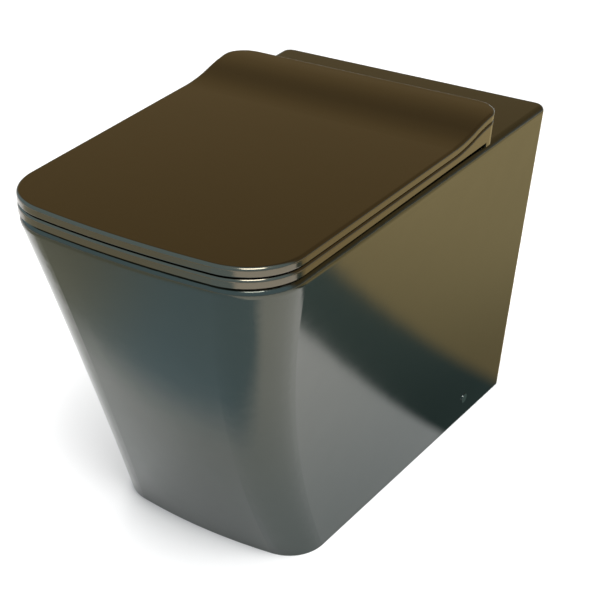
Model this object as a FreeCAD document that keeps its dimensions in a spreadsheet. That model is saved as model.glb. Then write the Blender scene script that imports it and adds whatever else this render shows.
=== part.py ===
"""Close coupled toilet pan with a slim soft-close seat and lid.

Frame: +Z up, millimetres.  The origin is on the floor, at the middle of the
pan's plan.  The front of the pan faces -Y and the wall is behind it at +Y.
"""
import FreeCAD, Part
import Sketcher
import math
import os

Vector = FreeCAD.Vector
Rotation = FreeCAD.Rotation

DRIVING_SIZES = {
    # pan, outside
    "pan_height": 400.0,
    "pan_length": 604.0,
    "pan_width": 362.0,
    "rim_taper": 69.0,
    "rim_bow": 10.5,
    "rim_corner_radius": 62.0,
    "rim_edge_radius": 7.0,
    "foot_setback": 134.0,
    "foot_front_taper": 119.0,
    "foot_rear_taper": 4.0,
    "foot_bow": 12.5,
    "foot_corner_radius": 48.0,
    "rear_corner_radius": 14.0,
    "front_belly": 8.5,
    "flank_waist": 16.5,
    # pan, casting walls
    "skirt_wall": 10.0,
    "deck_wall": 14.0,
    "deck_margin": 0.5,
    "bowl_wall": 10.0,
    "service_width": 236.0,
    "service_height": 330.0,
    "service_corner_radius": 25.0,
    # bowl and waterways
    "bowl_rear_setback": 49.5,
    "bowl_front_setback": 57.0,
    "bowl_rear_side": 65.0,
    "bowl_front_side": 38.5,
    "bowl_lip_radius": 5.0,
    "bowl_rear_radius": 58.0,
    "bowl_front_radius": 84.0,
    "bowl_bow": 14.0,
    "sump_height": 86.0,
    "sump_rear": 34.0,
    "sump_front": -34.0,
    "sump_width": 66.0,
    "sump_taper": 2.0,
    "sump_radius": 26.0,
    "sump_bow": 3.0,
    "trap_bore_radius": 32.0,
    "trap_wall": 8.0,
    "trap_turn_reach": 44.0,
    "trap_turn_radius": 56.0,
    "trap_crest_setback": 152.0,
    "trap_crest_height": 265.0,
    "trap_crest_radius": 50.0,
    "trap_foot_setback": 62.0,
    "trap_foot_radius": 60.0,
    "trap_end_inset": 4.0,
    "outlet_height": 185.0,
    "outlet_radius": 51.0,
    "outlet_bore_radius": 43.0,
    "outlet_length": 42.0,
    "outlet_recess": 14.0,
    "outlet_step": 6.0,
    "inlet_radius": 27.0,
    "inlet_wall": 8.0,
    "inlet_setback": 77.0,
    "inlet_drop": 2.0,
    "inlet_bend": 42.0,
    "inlet_reach": 25.0,
    "cistern_pitch": 150.0,
    "cistern_hole_radius": 7.0,
    # seat and lid
    "seat_gap": 6.5,
    "seat_thickness": 8.8,
    "lid_gap": 1.3,
    "lid_thickness": 9.2,
    "closing_tilt": 0.6,
    "lid_front_side": 2.0,
    "lid_rear_side": 9.0,
    "lid_overhang": 11.5,
    "plate_lead": 6.0,
    "lid_rear_radius": 30.0,
    "rear_rise": 11.6,
    "rise_length": 112.0,
    "rise_clear": 4.0,
    "opening_rear_setback": 77.5,
    "opening_front_setback": 72.0,
    "opening_rear_side": 74.0,
    "opening_front_side": 53.5,
    "opening_rear_radius": 60.0,
    "opening_front_radius": 74.0,
    "opening_bow": 12.0,
    "edge_radius": 3.4,
    "under_edge_radius": 1.2,
    "leg_length": 27.0,
    "leg_gap": 1.0,
    "lid_recess_depth": 5.0,
    "lid_border": 16.0,
    "recess_setback": 4.0,
    "buffer_radius": 7.0,
    "lid_buffer_radius": 5.0,
    "buffer_gap": 0.3,
    "buffer_front": 66.0,
    "buffer_rear_setback": 131.5,
    "lid_buffer_front": 90.0,
    "lid_buffer_rear_setback": 123.5,
    "buffer_stem_radius": 2.5,
    "buffer_stem_length": 4.0,
    # hinges
    "hinge_pitch": 155.0,
    "hinge_setback": 152.5,
    "barrel_radius": 7.8,
    "barrel_inset": 17.0,
    "housing_width": 36.0,
    "housing_front": 13.0,
    "housing_back": 6.0,
    "housing_gap": 0.3,
    "notch_depth": 17.0,
    "ear_width": 32.0,
    "shaft_radius": 3.0,
    "shaft_grip": 9.7,
    "pin_reach": 17.0,
    "running_gap": 0.05,
    "moving_gap": 0.4,
    "damper_radius": 5.5,
    "damper_length": 29.0,
    "damper_end_wall": 3.0,
    "rotor_radius": 3.8,
    "post_radius": 6.0,
    "post_top_wall": 4.0,
    "post_flange_radius": 14.0,
    "post_flange_height": 2.6,
    "seat_hole_radius": 7.5,
    "stud_radius": 4.0,
    "stud_length": 46.0,
    "button_width": 12.0,
    "button_height": 8.0,
    "button_proud": 1.5,
    "button_travel": 2.0,
    "window_wall": 1.2,
    "rotor_gap": 0.3,
    # under-deck fastening
    "bush_flange_radius": 12.0,
    "bush_flange_height": 3.0,
    "washer_radius": 11.0,
    "washer_height": 1.6,
    "nut_radius": 7.0,
    "nut_height": 10.0,
    "bush_gap": 0.2,
    "bush_squeeze": 0.1,
    "bush_drop": 0.5,
    "wing_span": 34.0,
    "wing_thickness": 3.0,
    "wing_drop": 4.0,
    "thread_gap": 0.1,
    # floor fixing
    "fixing_setback": 111.0,
    "fixing_height": 29.0,
    "fixing_hole_radius": 6.0,
    "bracket_width": 40.0,
    "bracket_height": 48.0,
    "bracket_reach": 42.0,
    "bracket_hole_reach": 20.0,
    "bracket_plate": 6.0,
    "bracket_gap": 1.5,
    "floor_hole_radius": 4.0,
    "screw_radius": 3.0,
    "screw_head_radius": 5.4,
    "screw_head_height": 3.0,
    "screw_socket_radius": 2.0,
    "screw_seat_gap": 0.2,
    "screw_tip": 4.0,
    "sleeve_wall": 2.6,
    "cap_radius": 6.5,
    "cap_thickness": 1.5,
    "cap_recess": 1.0,
    "cap_gap": 0.3,
    "cap_lift": 0.1,
    "cap_stem_gap": 0.1,
    "cap_stem_start": 1.4,
}


class Size:
    """A length that knows both its value and its spreadsheet expression."""

    def __init__(self, text, value):
        self.text = text
        self.value = value

    @staticmethod
    def of(other):
        if isinstance(other, Size):
            return other
        return Size(repr(float(other)), float(other))

    def join(self, sign, other, value):
        return Size(f"({self.text} {sign} {other.text})", value)

    def __add__(self, other):
        other = Size.of(other)
        return self.join("+", other, self.value + other.value)

    def __sub__(self, other):
        other = Size.of(other)
        return self.join("-", other, self.value - other.value)

    def __mul__(self, other):
        other = Size.of(other)
        return self.join("*", other, self.value * other.value)

    def __truediv__(self, other):
        other = Size.of(other)
        return self.join("/", other, self.value / other.value)

    def __radd__(self, other):
        return Size.of(other) + self

    def __rsub__(self, other):
        return Size.of(other) - self

    def __rmul__(self, other):
        return Size.of(other) * self

    def __neg__(self):
        return Size(f"(-1 * {self.text})", -self.value)

    def sine(self):
        return Size(f"sin({self.text} * 1 deg)", math.sin(math.radians(self.value)))

    def cosine(self):
        return Size(f"cos({self.text} * 1 deg)", math.cos(math.radians(self.value)))

    def arctan(self):
        degrees = math.degrees(math.atan(self.value))
        return Size(f"(atan({self.text}) / 1 deg)", degrees)


class Sheet:
    """The driving sizes, one spreadsheet row each, read back as Size values."""

    def __init__(self, document, sizes):
        self.sheet = document.addObject("Spreadsheet::Sheet", "Sizes")
        for row, (name, value) in enumerate(sizes.items(), start=1):
            self.sheet.set(f"A{row}", name)
            self.sheet.set(f"B{row}", str(value))
            self.sheet.setAlias(f"B{row}", name)
        document.recompute()

    def __getattr__(self, name):
        return Size(f"Sizes.{name}", float(getattr(self.sheet, name)))


doc = FreeCAD.newDocument("toilet")
S = Sheet(doc, DRIVING_SIZES)
NODES = []

# ---- places worked out from the driving sizes -------------------------------
BACK = S.pan_length / 2
FRONT = -BACK
DECK = S.pan_height
UNDER_DECK = DECK - S.deck_wall
SEAT_BOTTOM = DECK + S.seat_gap
SEAT_TOP = SEAT_BOTTOM + S.seat_thickness
LID_BOTTOM = SEAT_TOP + S.lid_gap
LID_TOP = LID_BOTTOM + S.lid_thickness
AXIS_Y = BACK - S.hinge_setback
AXIS_Z = SEAT_TOP + S.rear_rise - S.barrel_radius
LID_BACK = AXIS_Y + S.lid_overhang
RISE_START = AXIS_Y - S.rise_length
HINGE_X = S.hinge_pitch / 2
HOUSING_INNER = HINGE_X - S.housing_width / 2
HOUSING_OUTER = HINGE_X + S.housing_width / 2
HOUSING_BOTTOM = DECK + S.post_flange_height + S.housing_gap
NOTCH_OUTER = HOUSING_OUTER + S.moving_gap
EAR_OUTER = HOUSING_INNER - S.moving_gap
EAR_INNER = EAR_OUTER - S.ear_width
NOTCH_INNER = EAR_INNER - S.moving_gap
POST_TOP = AXIS_Z + S.barrel_radius - S.post_top_wall
FIXING_Y = BACK - S.fixing_setback
RIM_FRONT_WIDTH = S.pan_width - S.rim_taper
LID_REAR_WIDTH = S.pan_width - S.lid_rear_side * 2
LID_FRONT_WIDTH = RIM_FRONT_WIDTH - S.lid_front_side * 2
BOWL_REAR = AXIS_Y - S.bowl_rear_setback
BOWL_FRONT = FRONT + S.bowl_front_setback
BOWL_REAR_WIDTH = S.pan_width - S.bowl_rear_side * 2
BOWL_FRONT_WIDTH = RIM_FRONT_WIDTH - S.bowl_front_side * 2
INLET_END = BOWL_REAR - S.inlet_reach

# How far a cutter runs past the face it starts from.
PAST = 1.0

# Room left around a plate where it is trimmed, and the height of the cutters that trim it.
MARGIN = 20.0
TALL = 90.0


# ---- small tools --------------------------------------------------------------
def bind(item, path, size):
    """Tie one property of a document object to the spreadsheet."""
    item.setExpression(path, Size.of(size).text)


def keep(item, label):
    """Make a finished object one of the part's named pieces."""
    item.Label = label
    NODES.append(item)
    return item


def box(name, low, high):
    """A block between two corners."""
    item = doc.addObject("Part::Box", name)
    for index, (path, axis) in enumerate((("Length", "x"), ("Width", "y"), ("Height", "z"))):
        bind(item, path, Size.of(high[index]) - Size.of(low[index]))
        bind(item, f"Placement.Base.{axis}", low[index])
    return item


def cylinder(name, radius, start, length, direction="z"):
    """A round bar that runs from its start point along one positive axis."""
    item = doc.addObject("Part::Cylinder", name)
    turns = {"x": Rotation(Vector(0, 1, 0), 90), "y": Rotation(Vector(1, 0, 0), -90), "z": Rotation()}
    item.Placement = FreeCAD.Placement(Vector(), turns[direction])
    bind(item, "Radius", radius)
    bind(item, "Height", length)
    for axis, place in zip("xyz", start):
        bind(item, f"Placement.Base.{axis}", place)
    return item


def bar_x(name, radius, x_low, x_high, y=AXIS_Y, z=AXIS_Z):
    """A round bar along X between two stations, on the hinge axis by default."""
    return cylinder(name, radius, (x_low, y, z), Size.of(x_high) - Size.of(x_low), "x")


def fuse(name, *items):
    """Join overlapping solids into one."""
    item = doc.addObject("Part::MultiFuse", name)
    item.Shapes = list(items)
    item.Refine = True
    return item


def cut(name, base, *tools):
    """Take every tool away from the base."""
    tool = tools[0] if len(tools) == 1 else fuse(name + "_tools", *tools)
    item = doc.addObject("Part::Cut", name)
    item.Base = base
    item.Tool = tool
    item.Refine = True
    return item


def shared(name, base, tool):
    """The part of the base that lies inside the tool."""
    item = doc.addObject("Part::Common", name)
    item.Base = base
    item.Tool = tool
    return item


def group(label, *items):
    """Identical separate solids kept as one piece."""
    item = doc.addObject("Part::Compound", label)
    item.Links = list(items)
    return keep(item, label)


def span(side, near, far):
    """The low and high X of a stretch that is mirrored for the left side."""
    if side > 0:
        return near, far
    return -far, -near


# ---- sketches -------------------------------------------------------------------
def sketch_on(body, role, name, offset=0.0):
    """A sketch on one of the body's own origin planes, lifted along its normal."""
    plane = [item for item in body.Origin.OriginFeatures if item.Role == role][0]
    sketch = body.newObject("Sketcher::SketchObject", name)
    sketch.AttachmentSupport = [(plane, "")]
    sketch.MapMode = "FlatFace"
    bind(sketch, "AttachmentOffset.Base.z", offset)
    return sketch


def dimension(sketch, kind, references, size):
    """Add one driving dimension and tie it to the spreadsheet."""
    size = Size.of(size)
    index = sketch.addConstraint(Sketcher.Constraint(kind, *references, size.value))
    sketch.setExpression(f"Constraints[{index}]", size.text)


def fix_point(sketch, element, position, x, y):
    """Dimension one point from the sketch's origin."""
    dimension(sketch, "DistanceX", (-1, 1, element, position), x)
    dimension(sketch, "DistanceY", (-1, 1, element, position), y)


def polygon(sketch, points):
    """A closed run of straight edges with every corner dimensioned."""
    flat = [Vector(Size.of(x).value, Size.of(y).value, 0) for x, y in points]
    first = sketch.GeometryCount
    for index, start in enumerate(flat):
        sketch.addGeometry(Part.LineSegment(start, flat[(index + 1) % len(flat)]), False)
    for index, (x, y) in enumerate(points):
        following = first + (index + 1) % len(points)
        sketch.addConstraint(Sketcher.Constraint("Coincident", first + index, 2, following, 1))
        fix_point(sketch, first + index, 1, x, y)


def rectangle(sketch, low, high):
    """An upright rectangle between two corners."""
    polygon(sketch, [low, (high[0], low[1]), high, (low[0], high[1])])


def circle(sketch, x, y, radius):
    """A dimensioned circle."""
    centre = Vector(Size.of(x).value, Size.of(y).value, 0)
    element = sketch.addGeometry(Part.Circle(centre, Vector(0, 0, 1), Size.of(radius).value), False)
    dimension(sketch, "Radius", (element,), radius)
    fix_point(sketch, element, 3, x, y)


class Outline:
    """A plan shape: straight back, slanted sides, bowed front, rounded corners."""

    def __init__(self, back, front, back_width, front_width, back_radius, front_radius, bow):
        self.back = Size.of(back)
        self.front = Size.of(front)
        self.back_half = Size.of(back_width) / 2
        self.front_half = Size.of(front_width) / 2
        self.back_radius = Size.of(back_radius)
        self.front_radius = Size.of(front_radius)
        self.bow = Size.of(bow)

    def inset(self, wall):
        """The same shape moved inwards by a wall."""
        return Outline(
            self.back - wall,
            self.front + wall,
            (self.back_half - wall) * 2,
            (self.front_half - wall) * 2,
            self.back_radius - wall,
            self.front_radius - wall,
            self.bow,
        )

    def between(self, other, share):
        """The shape part of the way to another."""
        def mix(name):
            first = getattr(self, name)
            return first + (getattr(other, name) - first) * share
        return Outline(
            mix("back"),
            mix("front"),
            mix("back_half") * 2,
            mix("front_half") * 2,
            mix("back_radius"),
            mix("front_radius"),
            mix("bow"),
        )

    def half_at(self, place):
        """Half the width at one distance along Y, on the slanted side."""
        corner = self.front + self.bow
        share = (Size.of(place) - corner) / (self.back - corner)
        return self.front_half + (self.back_half - self.front_half) * share

    def draw(self, sketch):
        """Draw the closed outline with tangent arcs and dimension it."""
        z_axis = Vector(0, 0, 1)
        bow_radius = (self.front_half * self.front_half + self.bow * self.bow) / (self.bow * 2)
        bow_centre = Vector(0, (self.front + bow_radius).value, 0)
        corner = Vector(self.front_half.value, (self.front + self.bow).value, 0)
        rear = Vector(self.back_half.value, self.back.value, 0)
        along = (rear - corner).normalize()
        inward = Vector(-along.y, along.x, 0)
        rear_r = self.back_radius.value
        front_r = self.front_radius.value
        rear_y = rear.y - rear_r
        rear_x = rear.x + (rear_r - inward.y * (rear_y - rear.y)) / inward.x
        rear_centre = Vector(rear_x, rear_y, 0)
        base = corner + inward * front_r - bow_centre
        reach = bow_radius.value - front_r
        half_term = base.dot(along)
        root = math.sqrt(half_term ** 2 - base.dot(base) + reach ** 2)
        steps = (-half_term - root, -half_term + root)
        front_centre = corner + inward * front_r + along * min(steps, key=abs)
        rear_side = rear_centre - inward * rear_r
        front_side = front_centre - inward * front_r
        outward = (front_centre - bow_centre).normalize()
        front_bow = bow_centre + outward * bow_radius.value

        def flip(point):
            return Vector(-point.x, point.y, 0)

        def arc(centre, radius, start, end):
            first = math.atan2(start.y - centre.y, start.x - centre.x)
            last = math.atan2(end.y - centre.y, end.x - centre.x)
            if last < first:
                last += 2 * math.pi
            return Part.ArcOfCircle(Part.Circle(centre, z_axis, radius), first, last)

        rear_top = Vector(rear_x, rear.y, 0)
        edges = [
            arc(front_centre, front_r, front_bow, front_side),
            Part.LineSegment(front_side, rear_side),
            arc(rear_centre, rear_r, rear_side, rear_top),
            Part.LineSegment(rear_top, flip(rear_top)),
            arc(flip(rear_centre), rear_r, flip(rear_top), flip(rear_side)),
            Part.LineSegment(flip(rear_side), flip(front_side)),
            arc(flip(front_centre), front_r, flip(front_side), flip(front_bow)),
            arc(bow_centre, bow_radius.value, flip(front_bow), front_bow),
        ]
        first = sketch.GeometryCount
        for edge in edges:
            sketch.addGeometry(edge, False)
        for index in range(len(edges)):
            following = first + (index + 1) % len(edges)
            sketch.addConstraint(Sketcher.Constraint("Tangent", first + index, 2, following, 1))
        for index, radius in ((0, self.front_radius), (2, self.back_radius), (4, self.back_radius),
                              (6, self.front_radius), (7, bow_radius)):
            dimension(sketch, "Radius", (first + index,), radius)
        fix_point(sketch, first + 7, 3, 0, self.front + bow_radius)
        sketch.addConstraint(Sketcher.Constraint("Horizontal", first + 3))
        dimension(sketch, "DistanceY", (-1, 1, first + 3, 1), self.back)
        for line, sign in ((first + 1, 1), (first + 5, -1)):
            for half, place in ((self.front_half, self.front + self.bow), (self.back_half, self.back)):
                x = half * sign
                point = sketch.addGeometry(Part.Point(Vector(x.value, place.value, 0)), True)
                fix_point(sketch, point, 1, x, place)
                sketch.addConstraint(Sketcher.Constraint("PointOnObject", point, 1, line))


# ---- features ---------------------------------------------------------------------
def pad(body, sketch, length, both_ways=False, downwards=False):
    """Add a straight extrusion of a sketch."""
    feature = body.newObject("PartDesign::Pad", sketch.Name + "_pad")
    feature.Profile = sketch
    bind(feature, "Length", length)
    feature.Midplane = both_ways
    feature.Reversed = downwards
    return feature


def pocket(body, sketch, length, both_ways=False, upwards=False):
    """Cut a straight extrusion of a sketch, against its normal unless told otherwise."""
    feature = body.newObject("PartDesign::Pocket", sketch.Name + "_pocket")
    feature.Profile = sketch
    bind(feature, "Length", length)
    feature.Midplane = both_ways
    feature.Reversed = upwards
    return feature


def loft(body, kind, sections, name):
    """Add or cut a smooth loft through several sketches."""
    feature = body.newObject(f"PartDesign::{kind}Loft", name)
    feature.Profile = sections[0]
    feature.Sections = sections[1:]
    feature.Ruled = False
    return feature


def round_edges(body, radius, chosen, name):
    """Fillet the edges of the body's tip that a test picks out."""
    doc.recompute()
    tip = body.Tip
    names = [f"Edge{i}" for i, edge in enumerate(tip.Shape.Edges, start=1) if chosen(tip.Shape, edge)]
    if not names:
        raise RuntimeError(f"no edge to round for {name}")
    feature = body.newObject("PartDesign::Fillet", name)
    feature.Base = (tip, names)
    bind(feature, "Radius", radius)
    return feature


def middle_normal(face):
    """A face's outward normal near its middle."""
    u_low, u_high, v_low, v_high = face.ParameterRange
    return face.normalAt((u_low + u_high) / 2, (v_low + v_high) / 2)


def is_rim(shape, edge, upwards):
    """True where a flat-lying face meets an upright one on its upper or lower side."""
    faces = shape.ancestorsOfType(edge, Part.Face)
    if len(faces) != 2:
        return False
    heights = sorted(middle_normal(face).z * upwards for face in faces)
    return heights[1] > 0.8 and abs(heights[0]) < 0.5


# How far the bowl has fallen and tapered at each of its lofted levels.
BOWL_LEVELS = ((0.0, 0.0), (0.30, 0.17), (0.68, 0.60), (1.0, 1.0))

# ---- plan shapes ------------------------------------------------------------------
FOOT = Outline(BACK, FRONT + S.foot_setback,
               S.pan_width - S.foot_rear_taper, S.pan_width - S.foot_front_taper,
               S.rear_corner_radius, S.foot_corner_radius, S.foot_bow)
RIM = Outline(BACK, FRONT, S.pan_width, RIM_FRONT_WIDTH,
              S.rear_corner_radius, S.rim_corner_radius, S.rim_bow)
LID = Outline(LID_BACK, FRONT, LID_REAR_WIDTH, LID_FRONT_WIDTH,
              S.lid_rear_radius, S.rim_corner_radius, S.rim_bow)
BOWL = Outline(BOWL_REAR, BOWL_FRONT, BOWL_REAR_WIDTH, BOWL_FRONT_WIDTH,
               S.bowl_rear_radius, S.bowl_front_radius, S.bowl_bow)
SUMP = Outline(S.sump_rear, S.sump_front, S.sump_width, S.sump_width - S.sump_taper,
               S.sump_radius, S.sump_radius, S.sump_bow)
OPENING = Outline(AXIS_Y - S.opening_rear_setback, FRONT + S.opening_front_setback,
                  LID_REAR_WIDTH - S.opening_rear_side * 2, LID_FRONT_WIDTH - S.opening_front_side * 2,
                  S.opening_rear_radius, S.opening_front_radius, S.opening_bow)


def waist(share):
    """The pan's outside plan at a share of its height, with its belly and waist."""
    share = Size.of(share)
    swell = share * (1 - share) * 4
    plan = FOOT.between(RIM, share)
    plan.front = plan.front - S.front_belly * swell
    plan.front_half = plan.front_half - S.flank_waist * swell
    return plan


def wall_half(place, height):
    """Half the pan's outside width at one distance along Y and one height."""
    return waist(height / S.pan_height).half_at(place)


# The outer wall passes the side fixing at this X and this plan angle in degrees.
FIXING_X = wall_half(FIXING_Y, S.fixing_height)
FIXING_TURN = ((wall_half(FIXING_Y + 10, S.fixing_height) - FIXING_X) / 10).arctan()


# ---- the pan -------------------------------------------------------------------------
def stack(body, name, plans):
    """Sketch a list of (height, outline) pairs, ready for a loft."""
    sections = []
    for index, (level, plan) in enumerate(plans):
        sketch = sketch_on(body, "XY_Plane", f"{name}_{index}", level)
        plan.draw(sketch)
        sections.append(sketch)
    return sections


def pan_shell(body):
    """Outer casting: a lofted skirt, hollow below the deck."""
    shares = (1.0, 0.5, 0.0)
    outside = [(S.pan_height * share, waist(share)) for share in shares]
    inside = [(level, plan.inset(S.skirt_wall)) for level, plan in outside]
    loft(body, "Additive", stack(body, "skirt_outside", outside), "skirt")
    round_edges(body, S.rim_edge_radius, lambda shape, edge: is_rim(shape, edge, 1), "rim_rounding")
    loft(body, "Subtractive", stack(body, "skirt_inside", inside), "skirt_hollow")
    deck = sketch_on(body, "XY_Plane", "deck", DECK)
    RIM.inset(S.rim_edge_radius + S.deck_margin).draw(deck)
    pad(body, deck, S.deck_wall, downwards=True)


def bent_path(sketch, corners, radii):
    """An open run of straight lines with a tangent bend at every inner corner."""
    points = [Vector(Size.of(x).value, Size.of(y).value, 0) for x, y in corners]
    heads = [(b - a).normalize() for a, b in zip(points, points[1:])]
    starts, ends, bends = [points[0]], [], []
    for index, radius in enumerate(radii):
        before, after = heads[index], heads[index + 1]
        turn = before.x * after.y - before.y * after.x
        side = 1 if turn > 0 else -1
        back_off = Size.of(radius).value * math.tan(before.getAngle(after) / 2)
        entry = points[index + 1] - before * back_off
        leave = points[index + 1] + after * back_off
        centre = entry + Vector(-before.y, before.x, 0) * Size.of(radius).value * side
        bends.append((entry, leave, centre, side))
        ends.append(entry)
        starts.append(leave)
    ends.append(points[-1])
    lines = [sketch.addGeometry(Part.LineSegment(a, b), False) for a, b in zip(starts, ends)]
    for index, (entry, leave, centre, side) in enumerate(bends):
        radius = Size.of(radii[index])
        first, last = (entry, leave) if side > 0 else (leave, entry)
        low = math.atan2(first.y - centre.y, first.x - centre.x)
        high = math.atan2(last.y - centre.y, last.x - centre.x)
        if high < low:
            high += 2 * math.pi
        round_bend = Part.Circle(centre, Vector(0, 0, 1), radius.value)
        bend = sketch.addGeometry(Part.ArcOfCircle(round_bend, low, high), False)
        near, far = (1, 2) if side > 0 else (2, 1)
        sketch.addConstraint(Sketcher.Constraint("Tangent", lines[index], 2, bend, near))
        sketch.addConstraint(Sketcher.Constraint("Tangent", bend, far, lines[index + 1], 1))
        dimension(sketch, "Radius", (bend,), radius)
        corner = sketch.addGeometry(Part.Point(points[index + 1]), True)
        fix_point(sketch, corner, 1, *corners[index + 1])
        sketch.addConstraint(Sketcher.Constraint("PointOnObject", corner, 1, lines[index]))
        sketch.addConstraint(Sketcher.Constraint("PointOnObject", corner, 1, lines[index + 1]))
    fix_point(sketch, lines[0], 1, *corners[0])
    fix_point(sketch, lines[-1], 2, *corners[-1])


def swept_pipe(body, kind, name, radius, section, corners, radii):
    """Add or cut a round pipe along a bent path in the YZ plane."""
    path = sketch_on(body, "YZ_Plane", name + "_path")
    bent_path(path, corners, radii)
    pipe = body.newObject(f"PartDesign::{kind}Pipe", name)
    circle(section, 0, section_centre(section, corners[0]), radius)
    doc.recompute()
    pipe.Profile = section
    pipe.Spine = (path, [f"Edge{index + 1}" for index in range(len(path.Shape.Edges))])
    return pipe


def section_centre(section, corner):
    """The section sketch's own vertical coordinate of the path's first point."""
    upright = section.Name.startswith("upright")
    return corner[1] if upright else corner[0]


def trap_run(body, kind, radius):
    """The trapway: out of the sump, up over the weir and down to the outlet."""
    low = S.sump_height + S.trap_bore_radius
    corners = (
        (0, low),
        (S.sump_rear + S.trap_turn_reach, low),
        (BACK - S.trap_crest_setback, S.trap_crest_height),
        (BACK - S.trap_foot_setback, S.outlet_height),
        (BACK - S.outlet_recess - S.trap_end_inset, S.outlet_height),
    )
    radii = (S.trap_turn_radius, S.trap_crest_radius, S.trap_foot_radius)
    section = sketch_on(body, "XZ_Plane", "upright_trap_" + kind)
    swept_pipe(body, kind, "trap_" + kind, radius, section, corners, radii)


def inlet_run(body, kind, radius, end):
    """The flush duct: down from the deck, then forward to the bowl's back."""
    place = BACK - S.inlet_setback
    level = UNDER_DECK - S.inlet_drop - S.inlet_bend
    corners = ((place, UNDER_DECK), (place, level), (end, level))
    section = sketch_on(body, "XY_Plane", "level_inlet_" + kind, UNDER_DECK)
    swept_pipe(body, kind, "inlet_" + kind, radius, section, corners, (S.inlet_bend,))


def bowl_levels():
    """Plan shapes of the bowl's inside and outside, from the rim down to the sump."""
    depth = DECK - S.sump_height
    inside = [(DECK - depth * fall, BOWL.between(SUMP, taper)) for fall, taper in BOWL_LEVELS]
    outside = [(level, plan.inset(-S.bowl_wall)) for level, plan in inside]
    outside[-1] = (S.sump_height - S.bowl_wall, outside[-1][1])
    return inside, outside


def cut_bowl_seat(body):
    """Cut the bowl's outer shape from a casting that meets it."""
    loft(body, "Subtractive", stack(body, "bowl_seat", bowl_levels()[1]), "bowl_seat")


def is_service_corner(shape, edge):
    """True for the two short edges across the wall at the opening's upper corners."""
    box_of = edge.BoundBox
    across = box_of.XLength < 0.1 and box_of.ZLength < 0.1
    level = abs(box_of.ZMax - S.service_height.value) < 0.1
    return across and level and abs(abs(box_of.XMax) - S.service_width.value / 2) < 0.1


def is_bowl_lip(shape, edge):
    """True for the edges where the bowl opens through the rim."""
    box_of = edge.BoundBox
    reach = max(abs(box_of.XMin), abs(box_of.XMax))
    across = reach < BOWL_REAR_WIDTH.value / 2 + PAST
    along = BOWL_FRONT.value - PAST < box_of.YMin and box_of.YMax < BOWL_REAR.value + PAST
    return is_rim(shape, edge, 1) and across and along


def skirt_openings(body):
    """Holes through the casting: service opening, flush inlet, seat bolts and cistern bolts."""
    service = sketch_on(body, "XZ_Plane", "service_opening", -(BACK + PAST))
    half = S.service_width / 2
    rectangle(service, (-half, -PAST), (half, S.service_height))
    pocket(body, service, S.skirt_wall + PAST * 3, upwards=True)
    round_edges(body, S.service_corner_radius, is_service_corner, "service_corners")
    holes = sketch_on(body, "XY_Plane", "deck_holes", DECK)
    for sign in (-1, 1):
        circle(holes, HINGE_X * sign, AXIS_Y, S.seat_hole_radius)
        circle(holes, S.cistern_pitch / 2 * sign, BACK - S.inlet_setback, S.cistern_hole_radius)
    circle(holes, 0, BACK - S.inlet_setback, S.inlet_radius)
    pocket(body, holes, S.deck_wall + PAST)


def closed_down(item):
    """Turn a seat or lid piece, made level, about the hinge until its front comes down."""
    item.Placement = FreeCAD.Placement(Vector(), Rotation(Vector(1, 0, 0), S.closing_tilt.value))
    bind(item, "Placement.Rotation.Angle", S.closing_tilt)
    bind(item, "Placement.Base.y", AXIS_Y * (1 - S.closing_tilt.cosine()) + AXIS_Z * S.closing_tilt.sine())
    bind(item, "Placement.Base.z", AXIS_Z * (1 - S.closing_tilt.cosine()) - AXIS_Y * S.closing_tilt.sine())
    return item


def on_side_wall(item, side):
    """Move a piece made at the origin, outwards along +X, onto one side wall."""
    item.Placement = FreeCAD.Placement(Vector(), Rotation(Vector(0, 0, 1), 90))
    bind(item, "Placement.Base.x", FIXING_X * side)
    bind(item, "Placement.Base.y", FIXING_Y)
    bind(item, "Placement.Base.z", S.fixing_height)
    bind(item, "Placement.Rotation.Angle", -FIXING_TURN if side > 0 else FIXING_TURN + 180)
    return item


def side_hole(side):
    """Cutter for one side fixing hole and its shallow recess, square to the wall."""
    hole = bar_x("side_hole", S.fixing_hole_radius, -S.skirt_wall * 2, S.skirt_wall, 0, 0)
    recess = bar_x("side_recess", S.cap_radius + S.cap_gap, -S.cap_recess, S.skirt_wall, 0, 0)
    return on_side_wall(fuse("side_cutter", hole, recess), side)


def deck_slab(name):
    """The level between the deck's underside and its top, right across the pan."""
    wide, long = S.pan_width, S.pan_length
    return box(name, (-wide, -long, UNDER_DECK), (wide, long, DECK + PAST))


def make_skirt_and_deck():
    """Skirt and deck castings, with a seat for the bowl through both."""
    body = doc.addObject("PartDesign::Body", "outer_casting")
    pan_shell(body)
    cut_bowl_seat(body)
    skirt_openings(body)
    keep(shared("deck_casting", body, deck_slab("deck_level")), "pan_deck")
    keep(cut("skirt_casting", body, deck_slab("above_skirt"), side_hole(1), side_hole(-1)), "pan_skirt")


def make_bowl():
    """Bowl casting, from the rim down to the sump."""
    body = doc.addObject("PartDesign::Body", "bowl_casting")
    inside, outside = bowl_levels()
    loft(body, "Additive", stack(body, "bowl_outside", outside), "bowl")
    loft(body, "Subtractive", stack(body, "bowl_inside", inside), "bowl_hollow")
    round_edges(body, S.bowl_lip_radius, is_bowl_lip, "bowl_lip")
    trap_run(body, "Subtractive", S.trap_bore_radius)
    inlet_run(body, "Subtractive", S.inlet_radius, INLET_END)
    keep(body, "pan_bowl")


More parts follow.
